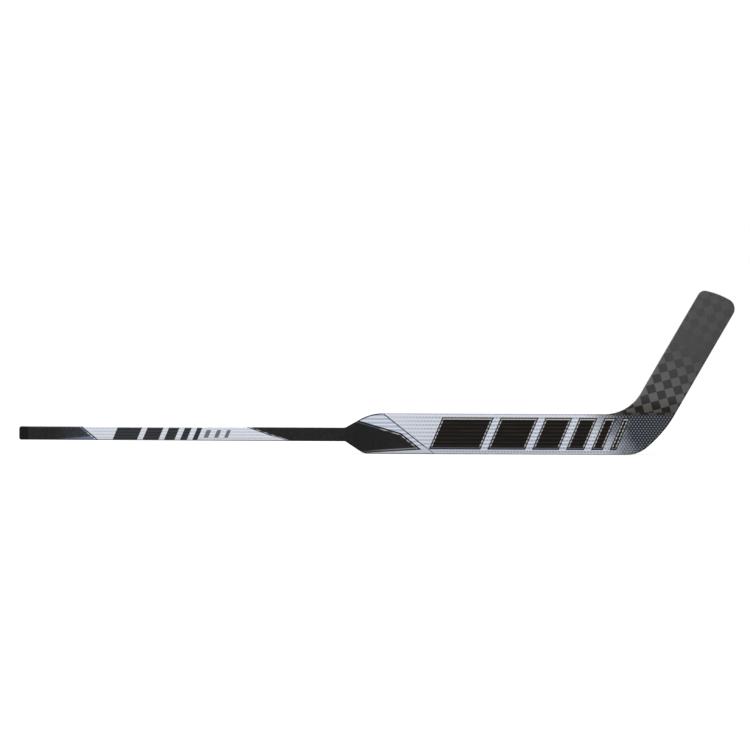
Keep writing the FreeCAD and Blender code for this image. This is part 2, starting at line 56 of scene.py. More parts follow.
# a number that varies over a surface: sums and products of fields become Math nodes
# a setting for above or below is an edge and its blur, one for within is low, high and blur
class Field:
    def __init__(self, tree, socket):
        self.tree, self.socket = tree, socket

    def math(self, operation, *others, clamp=False):
        node = self.tree.nodes.new("ShaderNodeMath")
        node.operation = operation
        node.use_clamp = clamp
        for slot, item in zip(node.inputs, (self, *others)):
            feed(self.tree, slot, item)
        return Field(self.tree, node.outputs[0])

    def __add__(self, other):
        return self.math("ADD", other)

    def __sub__(self, other):
        return self.math("SUBTRACT", other)

    def __mul__(self, other):
        return self.math("MULTIPLY", other)

    def __truediv__(self, other):
        return self.math("DIVIDE", other)

    def floor(self):
        return self.math("FLOOR")

    def part(self):  # what is left after the whole number
        return self.math("FRACT")

    def odd(self):  # 1 on every other whole number
        return self.math("FLOORED_MODULO", 2.0)

    def size(self):
        return self.math("ABSOLUTE")

    def least(self, other):
        return self.math("MINIMUM", other)

    def most(self, other):
        return self.math("MAXIMUM", other)

    def above(self, edge, blur=softEdge):  # 0 to 1 across an edge, over a blur
        return self.math("MULTIPLY_ADD", 1 / blur, 0.5 - edge / blur, clamp=True)

    def below(self, edge, blur=softEdge):  # 1 to 0 across it
        return self.math("MULTIPLY_ADD", -1 / blur, 0.5 + edge / blur, clamp=True)

    def within(self, low, high, blur=softEdge):
        return self.above(low, blur) * self.below(high, blur)

    def rise(self, start, end):  # 0 at start, 1 at end
        return self.above((start + end) / 2, end - start)

    def fall(self, start, end):  # 1 at start, 0 at end
        return self.below((start + end) / 2, end - start)

    def spread(self, low, high, clamp=False):  # from 0 and 1 to low and high
        return self.math("MULTIPLY_ADD", high - low, low, clamp=clamp)

    def other(self):  # the rest up to 1
        return self.spread(1.0, 0.0)


def newGroup(name, inputs, outputs):
    group = bpy.data.node_groups.new(name, "ShaderNodeTree")
    for label in inputs:
        kind = "NodeSocketVector" if label == "Place" else "NodeSocketFloat"
        group.interface.new_socket(label, in_out="INPUT", socket_type=kind)
    for label in outputs:
        group.interface.new_socket(label, in_out="OUTPUT", socket_type="NodeSocketFloat")
    entry = group.nodes.new("NodeGroupInput")
    leave = group.nodes.new("NodeGroupOutput")
    return group, [Field(group, entry.outputs[label]) for label in inputs], leave.inputs


def noise(tree, place, scale=1.0, detail=2.0, rough=0.5):
    node = tree.nodes.new("ShaderNodeTexNoise")
    for label, value in (("Vector", place), ("Scale", scale), ("Detail", detail), ("Roughness", rough)):
        feed(tree, node.inputs[label], value)
    return Field(tree, node.outputs["Fac"])


def vector(tree, x, y, z):
    node = tree.nodes.new("ShaderNodeCombineXYZ")
    for slot, item in zip(node.inputs, (x, y, z)):
        feed(tree, slot, item)
    return node.outputs[0]


# dashes in shares of a row and of a pitch
dashShape = {"lean": 0.4, "band": (0.25, 0.16), "dash": (0.29, 0.16), "line": (0.36, 0.12)}


# rows of short leaning dashes, every other row moved by half a pitch,
# with the band of each row and the line between rows
def makeDashRows():
    new = dashShape
    group, (along, across, row, pitch), out = newGroup(
        "dashRows", ("Along", "Across", "Row", "Pitch"), ("Dash", "Band", "Line"))
    level = across / row
    height = level.part() - 0.5
    swing = (along / pitch + level.floor().odd() * 0.5 + height * new["lean"]).part() - 0.5
    band = height.size().below(*new["band"])
    feed(group, out["Dash"], swing.size().below(*new["dash"]) * band)
    feed(group, out["Band"], band)
    feed(group, out["Line"], height.size().above(*new["line"]))
    return group


dotShape = {"blur": 0.7}


# staggered rows of round dots
def makeDotRows():
    group, (along, across, row, pitch, radius), out = newGroup(
        "dotRows", ("Along", "Across", "Row", "Pitch", "Radius"), ("Dot",))
    level = across / row
    height = (level.part() - 0.5) * row
    swing = ((along / pitch + level.floor().odd() * 0.5).part() - 0.5) * pitch
    reach = (swing * swing + height * height).math("SQRT")
    feed(group, out["Dot"], (radius - reach).above(0.0, dotShape["blur"]))
    return group


barShape = {"slope": 0.42}  # how far it leans to the right, as a share of its height


# how deep a point lies inside a slanted bar, in millimetres; below 0 outside
def makeSlantBar():
    slope = barShape["slope"]
    group, (along, across, left, right, low, high), out = newGroup(
        "slantBar", ("Along", "Across", "Left", "Right", "Low", "High"), ("Depth",))
    lean = along - across * slope
    square = 1 / math.hypot(1, slope)  # from along the bar to square on its slanted ends
    ends = ((lean - left) * square).least((right - lean) * square)
    feed(group, out["Depth"], ends.least((across - low).least(high - across)))
    return group


# fibres per square along and across a tow, and where its edge begins
towShape = {"long": 0.6, "fine": 22.0, "detail": 3.0, "apart": 4.0, "edge": (0.47, 0.05)}


# flat tows woven one over one: which tow is on top, a tone of its own for each square,
# the fibres along it and its edges
def makeTowWeave():
    new = towShape
    group, (along, across, square), out = newGroup(
        "towWeave", ("Along", "Across", "Square"), ("Checker", "Tone", "Fibre", "Edge"))
    u, v = along / square + 0.5, across / square + 0.5  # a square has its middle on 0, 0
    over = (u.floor() + v.floor()).odd()
    tone = group.nodes.new("ShaderNodeTexWhiteNoise")
    tone.noise_dimensions = "2D"
    feed(group, tone.inputs["Vector"], vector(group, u.floor(), v.floor(), 0.0))
    lengthwise = vector(group, u * new["long"], v * new["fine"], 0.0)
    crosswise = vector(group, u * new["fine"], v * new["long"], new["apart"])
    fibreU = noise(group, lengthwise, detail=new["detail"])
    fibreV = noise(group, crosswise, detail=new["detail"])
    edgeU = (u.part() - 0.5).size()
    edgeV = (v.part() - 0.5).size()
    feed(group, out["Checker"], over)
    feed(group, out["Tone"], tone.outputs["Value"])
    feed(group, out["Fibre"], fibreU * over + fibreV * over.other())
    feed(group, out["Edge"], edgeU.most(edgeV).above(*new["edge"]))
    return group


grainShape = {"speckRough": 0.6, "smudgeDetail": 3.0, "smudgeRange": (-0.6, 1.6)}


# fine specks and broad smudges, for the grain and wear of every finish
def makeGrain():
    new = grainShape
    group, (place, fine, broad), out = newGroup("grain", ("Place", "Fine", "Broad"), ("Speck", "Smudge"))
    clouds = noise(group, place, broad, new["smudgeDetail"])
    feed(group, out["Speck"], noise(group, place, fine, rough=new["speckRough"]))
    feed(group, out["Smudge"], clouds.spread(*new["smudgeRange"], clamp=True))
    return group


dashRows = makeDashRows()
dotRows = makeDotRows()
slantBar = makeSlantBar()
towWeave = makeTowWeave()
grain = makeGrain()
print("patterns made")

# sockets of a Mix node that mixes colours
maskSlot, underSlot, overSlot, colourOut = 0, 6, 7, 2


# a material on Object coordinates with its place in millimetres and its grain; the surface settings are its
# specular level, scales of specks and smudges, least roughness, what smudges add to it, and depth of bumps
class Finish:
    def __init__(self, name, surface):
        self.surface = surface
        self.material = bpy.data.materials.new(name)
        self.material.use_nodes = True
        self.tree = self.material.node_tree
        self.tree.nodes.clear()
        output = self.tree.nodes.new("ShaderNodeOutputMaterial")
        self.shader = self.tree.nodes.new("ShaderNodeBsdfPrincipled")
        self.tree.links.new(self.shader.outputs[0], output.inputs["Surface"])
        self.shader.inputs["Specular IOR Level"].default_value = surface["specular"]
        self.spot = self.tree.nodes.new("ShaderNodeTexCoord").outputs
        self.place = self.spot["Object"]
        self.x, self.y, self.z = [part * metre for part in self.parts(self.place)]
        marks = self.pattern(grain, Place=self.place, Fine=surface["fine"], Broad=surface["broad"])
        self.speck, self.smudge = marks["Speck"], marks["Smudge"]
        self.colour = None

    def parts(self, socket):
        split = self.tree.nodes.new("ShaderNodeSeparateXYZ")
        self.tree.links.new(socket, split.inputs[0])
        return [Field(self.tree, output) for output in split.outputs]

    def pattern(self, group, **values):
        node = self.tree.nodes.new("ShaderNodeGroup")
        node.node_tree = group
        for label, value in values.items():
            feed(self.tree, node.inputs[label], value)
        return {output.name: Field(self.tree, output) for output in node.outputs}

    def narrow(self, edge, blur):  # 1 on the narrow sides, 0 on the two broad faces
        return self.parts(self.spot["Normal"])[1].size().below(edge, blur)

    def blend(self, under, over, mask):  # the first colour, and the second where the mask is 1
        node = self.tree.nodes.new("ShaderNodeMix")
        node.data_type = "RGBA"
        for slot, item in ((maskSlot, mask), (underSlot, under), (overSlot, over)):
            feed(self.tree, node.inputs[slot], item)
        return node.outputs[colourOut]

    def start(self, under, over, mask):
        self.colour = self.blend(under, over, mask)

    def lay(self, colour, mask):
        self.colour = self.blend(self.colour, colour, mask)

    def finish(self, height, wear=None):
        worn = (wear or self.smudge) * self.surface["wear"] + self.surface["rough"]
        feed(self.tree, self.shader.inputs["Base Color"], self.colour)
        feed(self.tree, self.shader.inputs["Roughness"], worn)
        bump = self.tree.nodes.new("ShaderNodeBump")
        bump.inputs["Strength"].default_value = bumpStrength
        bump.inputs["Distance"].default_value = self.surface["bump"] / metre
        feed(self.tree, bump.inputs["Height"], height)
        self.tree.links.new(bump.outputs[0], self.shader.inputs["Normal"])
        return self.material


# 1 on the dots whose row, pitch and radius the settings give
def dotsOn(finish, new, across):
    size = {"Row": new["row"], "Pitch": new["pitch"], "Radius": new["radius"]}
    return finish.pattern(dotRows, Along=finish.x, Across=across, **size)["Dot"]


# butt plug: matte moulding, pale at its end with scuffs and a painted sheen
capSettings = {
    "surface": {"specular": 0.1, "fine": 2600.0, "broad": 90.0, "rough": 0.5, "wear": 0.2, "bump": 0.06},
    "dark": srgb(8, 8, 10), "light": srgb(16, 16, 19),
    "scuffAndSheen": srgb(62, 64, 72), "paleEndLength": 3.05, "paleEndBlur": 2.4,
    "paleEndMarks": (0.62, 0.3), "paleEndDepth": 0.6,
}


def makeCapPlastic():
    new = capSettings
    cap = Finish("capPlastic", new["surface"])
    cap.start(new["dark"], new["light"], cap.speck)
    # pale patches at the end: scuffs, and a painted sheen where the end's edge catches light
    end = cap.x.below(buttX + new["paleEndLength"], new["paleEndBlur"])
    cap.lay(new["scuffAndSheen"], end * cap.smudge.above(*new["paleEndMarks"]) * new["paleEndDepth"])
    return cap.finish(cap.speck)


# black laminate: fine cloth that hardly shows under its lacquer
laminateSettings = {
    "outer": {
        "specular": 0.14, "fine": 1500.0, "broad": 40.0, "rough": 0.3, "wear": 0.12, "bump": 0.04,
        "dark": srgb(15, 15, 17), "light": srgb(28, 28, 31),
    },
    "inner": {
        "specular": 0.3, "fine": 1500.0, "broad": 40.0, "rough": 0.5, "wear": 0.12, "bump": 0.04,
        "dark": srgb(26, 26, 28), "light": srgb(58, 58, 60),
    },
    "square": 2.4, "checkerTone": 0.5, "fibreTone": 0.4, "edgeRise": -0.4, "speckRise": 0.3,
    "mottle": srgb(50, 50, 53), "mottleScale": 240.0, "mottleFrom": (0.56, 0.3), "mottleDepth": 0.35,
    "pale": srgb(74, 77, 84), "paleX": (-938.0, 70.0),
    "sliver": srgb(116, 128, 152), "sliverX": (-978.0, -880.0), "sliverSlope": 0.072,
    "sliverHeight": 2.15, "sliverBlur": 1.6,
    "rim": srgb(164, 167, 174), "rimLeft": (-255.0, 8.0), "rimRight": (200.0, 70.0),
    "rimHeight": 2.1, "rimBlur": 0.8, "rimDepth": (6.2, 1.0),
}


# sliver: pale wedge along the foot of the handle; rim: pale line along the upper edges of the paddle, print
# carried over the edge and lightened by a painted highlight from above
def makeLaminate(name, side="outer", sliver=False, rim=False):
    new = laminateSettings
    sheet = Finish(name, new[side])
    along, across = sheet.x + sheet.z + sheet.y, sheet.z - sheet.x + sheet.y
    cloth = sheet.pattern(towWeave, Along=along, Across=across, Square=new["square"])
    tone = cloth["Checker"] * new["checkerTone"] + cloth["Fibre"] * new["fibreTone"]
    sheet.start(new[side]["dark"], new[side]["light"], tone)
    mottle = noise(sheet.tree, sheet.place, new["mottleScale"])
    sheet.lay(new["mottle"], mottle.above(*new["mottleFrom"]) * new["mottleDepth"])
    if sliver:
        sheet.lay(new["pale"], sheet.x.above(*new["paleX"]) * mottle)
        height = sheet.z - (sheet.x - new["sliverX"][0]) * new["sliverSlope"]
        area = height.below(handleLow + new["sliverHeight"], new["sliverBlur"])
        sheet.lay(new["sliver"], area * sheet.x.rise(*new["sliverX"]))  # pales to the right
    if rim:
        # painted highlight: the upper edge made pale as if lit from above, over print carried round it
        edge = sheet.z.above(paddleTop - new["rimHeight"], new["rimBlur"])
        edge = edge * sheet.y.size().above(*new["rimDepth"])
        sheet.lay(new["rim"], edge * sheet.x.above(*new["rimLeft"]) * sheet.x.below(*new["rimRight"]))
    return sheet.finish(cloth["Edge"] * new["edgeRise"] + sheet.speck * new["speckRise"])


# blade: wide flat tows on the diagonal; the contrast of their squares is a painted sheen, darker low down,
# fading to plain and coming back reversed towards the toe
weaveSettings = {
    "surface": {"specular": 0.16, "fine": 1800.0, "broad": 26.0, "rough": 0.36, "wear": 0.12, "bump": 0.08},
    "square": 18.7, "turn": 16.2, "centre": (321.0, 121.5), "soleX": 335.65, "soleAngle": 60.3,
    # light, dark, their low copies, plain and the toe colours paint the tows' sheen as colour
    "light": srgb(102, 100, 99), "dark": srgb(54, 56, 59),
    "lightLow": srgb(82, 78, 73), "darkLow": srgb(8, 8, 8), "lowZ": (103.0, 127.0),
    "plain": srgb(74, 74, 75), "plainAlong": (136.0, 250.0),
    "toeLight": srgb(81, 82, 84), "toeDark": srgb(72, 72, 72), "toeAlong": (246.0, 300.0),
    "varied": srgb(122, 119, 116), "variedDepth": 0.14,
    "fibre": srgb(24, 24, 25), "fibreFrom": 0.38, "fibreGain": 0.44,
    "shade": srgb(24, 24, 25), "shadeWidth": 90.0, "shadeDepth": 0.13,
    "bandLight": srgb(62, 57, 51), "bandDark": srgb(20, 20, 21), "bandPitch": 18.2, "bandTop": (93.2, 0.6),
    "edgeLight": srgb(66, 65, 64), "edgeDark": srgb(30, 30, 31), "edgeTurn": (0.5, 0.4),
    "fibreRise": 0.35, "edgeRise": -0.5, "speckRise": 0.1,
}


def makeBladeWeave():
    new = weaveSettings
    blade = Finish("bladeWeave", new["surface"])
    turn = math.radians(new["turn"])
    x, z = blade.x - new["centre"][0], blade.z - new["centre"][1]
    across = z * math.cos(turn) - x * math.sin(turn)
    cloth = blade.pattern(
        towWeave, Along=x * math.cos(turn) + z * math.sin(turn), Across=across, Square=new["square"])
    lean = math.radians(new["soleAngle"])
    fromHeel = (blade.x - new["soleX"]) * math.cos(lean) + blade.z * math.sin(lean)
    fromSole = blade.z * math.cos(lean) - (blade.x - new["soleX"]) * math.sin(lean)
    # painted sheen: the squares' contrast fades to plain along the blade and comes back reversed at the toe,
    # as the curve turns the reflection
    plain, toe = fromHeel.rise(*new["plainAlong"]), fromHeel.rise(*new["toeAlong"])
    low = blade.z.fall(*new["lowZ"])
    dark = blade.blend(new["dark"], new["darkLow"], low)
    light = blade.blend(new["light"], new["lightLow"], low)
    blade.start(dark, light, cloth["Checker"])
    blade.lay(new["plain"], plain)
    blade.lay(blade.blend(new["toeLight"], new["toeDark"], cloth["Checker"]), toe)
    varied = cloth["Tone"] * cloth["Checker"] * plain.other()  # no two squares quite alike
    blade.lay(new["varied"], varied * new["variedDepth"])
    fibre = (cloth["Fibre"] - new["fibreFrom"]).math("MULTIPLY", new["fibreGain"], clamp=True)
    blade.lay(new["fibre"], fibre)
    # painted shade: darker towards the sole, lighter towards the upper edge, as light from above falls
    blade.lay(new["shade"], fromSole.fall(0.0, new["shadeWidth"]) * new["shadeDepth"])
    block = (blade.x / new["bandPitch"]).floor().odd()
    blade.lay(blade.blend(new["bandLight"], new["bandDark"], block), blade.z.below(*new["bandTop"]))
    blade.lay(blade.blend(new["edgeDark"], new["edgeLight"], blade.speck), blade.narrow(*new["edgeTurn"]))
    height = cloth["Fibre"] * new["fibreRise"] + cloth["Edge"] * new["edgeRise"]
    return blade.finish(height + blade.speck * new["speckRise"])


# both films: pale ground with dashes, slanted bars and pinstripes
# silverEnd, shineEnd and streakStart count in widths of the line round a bar
filmSettings = {
    "surface": {"specular": 0.08, "fine": 2200.0, "broad": 30.0, "rough": 0.3, "wear": 0.1, "bump": 0.02},
    # low: painted shade, darkening the ground towards the bottom
    "low": srgb(188, 192, 201), "lowZ": (18.0, 50.0), "lowDepth": 0.6,
    "dash": srgb(158, 171, 199), "dashPitch": 7.0, "line": srgb(240, 241, 243), "lineDepth": (0.4, 0.9),
    "edge": srgb(34, 37, 44), "silver": srgb(206, 200, 188), "dull": srgb(92, 98, 110), "barBlur": 0.4,
    "silverEnd": 1.9, "shine": (0.2, 0.7, 0.2), "shineEnd": 2.0, "shineBlur": 0.5,
    "streakStart": 2.4, "streakBlur": 0.6, "streakRows": (0.1, 0.46, 0.3), "streakFrom": (0.5, 0.5),
    "driftLong": 0.02, "driftFine": 0.4, "pinStart": -1.0,
}


# distance of every point from the line through two points,
# above 0 on its left going from the first to the second
def offLine(film, first, second):
    dx, dz = second[0] - first[0], second[1] - first[1]
    length = math.hypot(dx, dz)
    return (film.x - first[0]) * (-dz / length) + (film.z - first[1]) * (dx / length)


# pale ground with its dashes, darker towards the bottom as painted shade; the rows run on round the narrow
# sides
def layGround(film, own):
    new = filmSettings
    show = film.x.above(*own["dashesFrom"])
    around = film.z + film.y
    rows = film.pattern(dashRows, Along=film.x, Across=around, Row=own["row"], Pitch=new["dashPitch"])
    film.start(own["white"], new["low"], film.z.below(*new["lowZ"]) * new["lowDepth"])
    film.lay(new["line"], rows["Line"] * show.spread(*new["lineDepth"]))
    film.lay(new["dash"], rows["Band"] * (show * own["bandDepth"]))
    film.lay(new["dash"], rows["Dash"] * (show * own["dashDepth"]))


# slanted inked bars with faint streaks, and where they have a line, a dark and a silver line round them
def layBars(film, bars, foot, top, row):
    new = filmSettings
    low, high = foot + bars["inset"][0], top - bars["inset"][1]
    line, left, depth = bars["line"], bars["start"], None
    for width in bars["widths"]:
        right = left + width
        bar = film.pattern(
            slantBar, Along=film.x, Across=film.z, Left=left, Right=right, Low=low, High=high)["Depth"]
        depth = bar if depth is None else depth.most(bar)
        left = right + bars["gap"]
    level = (film.z / row).part()
    silverEnd, shineEnd = line * new["silverEnd"], line * new["shineEnd"]
    if line:
        shine = level.within(*new["shine"]).most(film.z.above(high - shineEnd, new["shineBlur"]))
        shine = shine * film.z.above(low + shineEnd, new["shineBlur"])
        silver = film.blend(new["dull"], new["silver"], shine)
        film.lay(new["edge"], depth.above(0.0, new["barBlur"]))
        film.lay(silver, depth.within(line, silverEnd, new["barBlur"]))
    film.lay(bars["ink"], depth.above(silverEnd, new["barBlur"]))
    long, fine = new["driftLong"], new["driftFine"]
    drift = noise(film.tree, vector(film.tree, film.x * long, film.y * long, film.z * fine))
    streaks = level.within(*new["streakRows"]) * drift.above(*new["streakFrom"])
    film.lay(bars["streak"], depth.above(line * new["streakStart"], new["streakBlur"]) * streaks)


# dark line with a silver line in it, bright where the glint is 1
def layPinstripes(film, off, new, glint, show=None):
    ink = off.within(filmSettings["pinStart"], new["outer"])
    film.lay(new["ink"], ink if show is None else ink * show)
    film.lay(film.blend(new["dull"], new["bright"], glint), off.within(*new["silver"]))


# paddle film: striped panel at the shoulder, pinstripes round the grip's wedge, bars, dots on the heel
paddleFilm = {
    "white": srgb(217, 222, 231), "row": 8.2,
    "dashDepth": 0.9, "bandDepth": 0.28, "dashesFrom": (-175.0, 160.0),
    "bars": {
        "start": -157.0, "widths": (113.0, 83.0, 59.0, 40.0, 26.0, 15.0), "gap": 15.0, "inset": (10.1, 8.3),
        "ink": srgb(13, 12, 13), "streak": srgb(58, 47, 39), "line": 2.5,
    },
    "panel": {
        "edge": ((-252.5, 88.0), (-143.5, 2.0)), "ink": srgb(36, 37, 42), "inkHalf": (1.1, 0.5),
        "pitch": 8.2, "stripe": srgb(182, 194, 217), "stripeRows": (0.06, 0.6, 0.12),
        "line": srgb(242, 243, 246), "lineRows": (0.68, 0.86, 0.1),
    },
    "shoulder": {
        "centre": (-251.8, -15.1), "radius": 104.0, "width": 2.7, "blur": 0.6, "rightX": (-253.0, 3.0),
    },
    "wedge": {
        "corners": ((-328.45, 73.1), (-216.05, 40.2), (-183.95, 14.5), (-315.15, 6.3)),
        "ink": srgb(22, 22, 25), "outer": 6.0, "silver": (0.9, 2.7),
        "bright": srgb(206, 200, 188), "dull": srgb(86, 90, 100),
        "glintRows": (0.15, 0.7, 0.2), "glintX": (-258.0, 14.0),
    },
    "strip": {
        "pale": srgb(200, 206, 219), "paleFrom": (1.0, 2.0),
        "dark": srgb(62, 62, 66), "darkAt": (-1.0, 5.2, 0.8),
        "silver": srgb(136, 132, 131), "silverAt": (0.9, 3.0, 0.8),
        "shade": srgb(34, 34, 35), "shadeTo": (3.6, 5.0), "shadeX": (-264.0, 50.0),
    },
    "heel": {
        "lean": 0.5, "from": (249.0, 44.0), "fade": (242.0, 322.0), "blotchScale": 55.0, "blotchReach": 60.0,
        "light": srgb(150, 157, 168), "dark": srgb(29, 31, 35),
        "dot": srgb(116, 123, 133), "dotPale": srgb(196, 201, 210),
        "pitch": 6.9, "row": 5.03, "radius": 1.85,
    },
}


def layPanel(film, new, off, white):
    inside = off.below(0.0)
    level = (film.z / new["pitch"]).part()
    film.lay(white, inside)
    film.lay(new["stripe"], inside * level.within(*new["stripeRows"]))
    film.lay(new["line"], inside * level.within(*new["lineRows"]))
    film.lay(new["ink"], off.size().below(*new["inkHalf"]))


# dark line round the shoulder's arc
def layShoulder(film, new):
    aside, aloft = film.x - new["centre"][0], film.z - new["centre"][1]
    reach = (aside * aside + aloft * aloft).math("SQRT")
    rim = reach.above(new["radius"] - new["width"], new["blur"])
    film.lay(filmSettings["edge"], rim * film.x.below(*new["rightX"]))


# pinstripes round the grip's wedge and the strip under it
def layWedge(film, new, strip, panel, row):
    topLeft, knee, tip, footLeft = new["corners"]
    upper = offLine(film, topLeft, knee).most(offLine(film, knee, tip))
    foot = offLine(film, tip, footLeft)
    under = (foot - upper).above(0.0)
    film.lay(strip["pale"], foot.above(*strip["paleFrom"]) * panel.below(0.0))
    glint = (film.z / row).part().within(*new["glintRows"]) * film.x.above(*new["glintX"])
    layPinstripes(film, upper.most(foot), new, glint)
    film.lay(strip["dark"], foot.within(*strip["darkAt"]) * under)
    film.lay(strip["silver"], foot.within(*strip["silverAt"]) * under)
    shade = foot.below(*strip["shadeTo"]) * under
    film.lay(strip["shade"], shade * film.x.below(*strip["shadeX"]))  # darkens to the left


# dots on a ground that darkens in blotches towards the toe
def layHeel(film, new):
    lean = film.x + film.z * new["lean"]
    blotch = noise(film.tree, film.place, new["blotchScale"]) - 0.5
    fade = (lean + blotch * new["blotchReach"]).rise(*new["fade"])
    ground = film.blend(new["light"], new["dark"], fade)
    dotted = film.blend(new["dotPale"], new["dot"], fade)
    dots = dotsOn(film, new, film.z)
    film.lay(film.blend(ground, dotted, dots), lean.above(*new["from"]))


def makePaddleFilm():
    new = paddleFilm
    film = Finish("paddleFilm", filmSettings["surface"])
    panel = offLine(film, *new["panel"]["edge"])
    layGround(film, new)
    layPanel(film, new["panel"], panel, new["white"])
    layShoulder(film, new["shoulder"])
    layWedge(film, new["wedge"], new["strip"], panel, new["row"])
    layHeel(film, new["heel"])
    layBars(film, new["bars"], paddleLow, paddleTop, new["row"])
    return film.finish(film.speck)


# handle film: bars between slanted ends with pinstripes
shaftFilm = {
    "white": srgb(224, 230, 241), "row": 6.55,
    "dashDepth": 0.36, "bandDepth": 0.13, "dashesFrom": (-900.0, 40.0),
    # under: painted shade along the bottom of the handle, where it faces down
    "under": srgb(112, 114, 119), "underHeight": 1.55, "underBlur": 1.2, "glintPitch": 5.6,
    "bars": {
        "start": -857.0, "widths": (53.5, 35.0, 23.0, 15.0, 11.0), "gap": 12.0, "inset": (1.65, 1.65),
        "ink": srgb(44, 46, 51), "streak": srgb(80, 78, 77), "line": 0.0,
    },
    "greyBars": {
        "start": -660.0, "widths": (10.0, 9.0, 8.0), "gap": 13.0, "inset": (6.35, 6.15),
        "ink": srgb(112, 114, 119), "streak": srgb(136, 136, 138), "line": 0.0,
    },
    "start": {
        "topX": -918.45, "footX": -882.75, "ink": srgb(38, 41, 52), "outer": 4.8, "silver": (0.2, 2.5),
        "bright": srgb(222, 228, 234), "dull": srgb(112, 126, 152),
        "glintRows": (0.21, 0.63, 0.2), "glintTo": (44.5, 2.0),
    },
    "end": {
        "topX": -539.65, "footX": -453.65, "ink": srgb(36, 39, 50), "outer": 3.9, "silver": (0.7, 2.1),
        "bright": srgb(208, 200, 184), "dull": srgb(76, 82, 98),
        "glintRows": (0.28, 0.72, 0.2), "glintFrom": (37.0, 2.0), "inkFrom": (36.0, 3.0),
    },
}


def makeShaftFilm():
    new = shaftFilm
    start, end = new["start"], new["end"]
    film = Finish("shaftFilm", filmSettings["surface"])
    layGround(film, new)
    # painted shade: a grey strip along the bottom edge, which faces down
    film.lay(new["under"], film.z.below(handleLow + new["underHeight"], new["underBlur"]))
    level = film.z / new["glintPitch"]
    startGlint = level.part().within(*start["glintRows"]) * film.z.below(*start["glintTo"])
    endGlint = (level + 0.5).part().within(*end["glintRows"]) * film.z.above(*end["glintFrom"])
    offStart = offLine(film, (start["topX"], handleTop), (start["footX"], handleLow))
    offEnd = offLine(film, (end["footX"], handleLow), (end["topX"], handleTop))
    layPinstripes(film, offStart, start, startGlint)
    layPinstripes(film, offEnd, end, endGlint, film.z.above(*end["inkFrom"]))
    for bars in (new["bars"], new["greyBars"]):
        layBars(film, bars, handleLow, handleTop, new["row"])
    return film.finish(film.speck)


# grip: matte skin with fine studs, darker in the throat
gripSettings = {
    "surface": {"specular": 0.12, "fine": 2600.0, "broad": 24.0, "rough": 0.6, "wear": 0.15, "bump": 0.08},
    "dark": srgb(15, 15, 16), "light": srgb(32, 32, 34), "studTone": 0.45, "speckTone": 0.4,
    "pitch": 2.6, "row": 1.8, "radius": 0.75, "speckRise": 0.4,
    "worn": srgb(50, 49, 49), "wornScale": 240.0, "wornFrom": (0.52, 0.3),
    "wornDepth": 0.4, "smudgeDepth": 0.1,
    "deep": srgb(13, 14, 16), "deepX": (-332.0, -240.0, 44.0), "deepTone": 0.45,
}


def makeGripSkin():
    new = gripSettings
    grip = Finish("gripSkin", new["surface"])
    studs = dotsOn(grip, new, grip.z + grip.y)
    grip.start(new["dark"], new["light"], studs * new["studTone"] + grip.speck * new["speckTone"])
    worn = noise(grip.tree, grip.place, new["wornScale"]).above(*new["wornFrom"])
    grip.lay(new["worn"], worn * new["wornDepth"] + grip.smudge * new["smudgeDepth"])
    grip.lay(new["deep"], grip.x.within(*new["deepX"]) * new["deepTone"])
    return grip.finish(studs + grip.speck * new["speckRise"])


# closed-cell foam: pale cells with darker walls
foamSettings = {
    "surface": {"specular": 0.2, "fine": 900.0, "broad": 30.0, "rough": 0.75, "wear": 0.2, "bump": 0.4},
    "wallFrom": (0.5, 0.5), "wallDepth": 0.7, "smudgeDepth": 0.25,
    "core": {"wall": srgb(172, 160, 132), "cell": srgb(226, 216, 190), "scale": 620.0},
    "heel": {"wall": srgb(104, 90, 68), "cell": srgb(160, 144, 114), "scale": 980.0},
}


def makeFoam(name, own):
    new = foamSettings
    foam = Finish(name, new["surface"])
    cells = foam.tree.nodes.new("ShaderNodeTexVoronoi")
    feed(foam.tree, cells.inputs["Vector"], foam.place)
    cells.inputs["Scale"].default_value = own["scale"]
    reach = Field(foam.tree, cells.outputs["Distance"])
    wall = reach.above(*new["wallFrom"]) * new["wallDepth"] + foam.smudge * new["smudgeDepth"]
    foam.start(own["cell"], own["wall"], wall)
    return foam.finish(reach * -1.0, foam.speck)


laminate = makeLaminate("paddleLaminate", rim=True)
innerLaminate = makeLaminate("innerLaminate", side="inner")
bladeWeave = makeBladeWeave()
paddlePrint = makePaddleFilm()
coreFoam = makeFoam("coreFoam", foamSettings["core"])
finishes = {
    "butt_cap": makeCapPlastic(),
    "shaft_tube": makeLaminate("shaftLaminate", sliver=True),
    "shaft_tenon": innerLaminate,
    "shaft_film": makeShaftFilm(),
    "throat_grip": makeGripSkin(),
    "paddle_front_shell": laminate,
    "paddle_back_shell": laminate,
    "paddle_spine": innerLaminate,
    "paddle_core_upper": coreFoam,
    "paddle_core_lower": coreFoam,
    "paddle_film_front": paddlePrint,
    "paddle_film_back": paddlePrint,
    "heel_block": makeFoam("heelFoam", foamSettings["heel"]),
    "blade_front_skin": bladeWeave,
    "blade_back_skin": bladeWeave,
    "blade_rib": innerLaminate,
    "blade_core_upper": coreFoam,
    "blade_core_lower": coreFoam,
    "blade_core_toe": coreFoam,
}
for name, material in finishes.items():
    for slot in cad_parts[name].material_slots:
        slot.material = material
print("finishes on:", len(finishes), "pieces")


# 1 for rays from the camera, straight or by way of a reflection
def seenRays(tree):
    rays = tree.nodes.new("ShaderNodeLightPath").outputs
    seen = Field(tree, rays["Is Camera Ray"])
    for kind in ("Is Glossy Ray", "Is Transmission Ray"):
        seen = seen.most(Field(tree, rays[kind]))
    return seen


# floor: flat square grid at height 0, glowing white to the camera around the stick's shadow; sizes in metres
floorSettings = {
    "half": 40.0, "lines": 3, "paint": (0.4, 0.4, 0.4, 1.0), "glow": (0.7, 0.95), "glowReach": (0.6, 2.6),
}


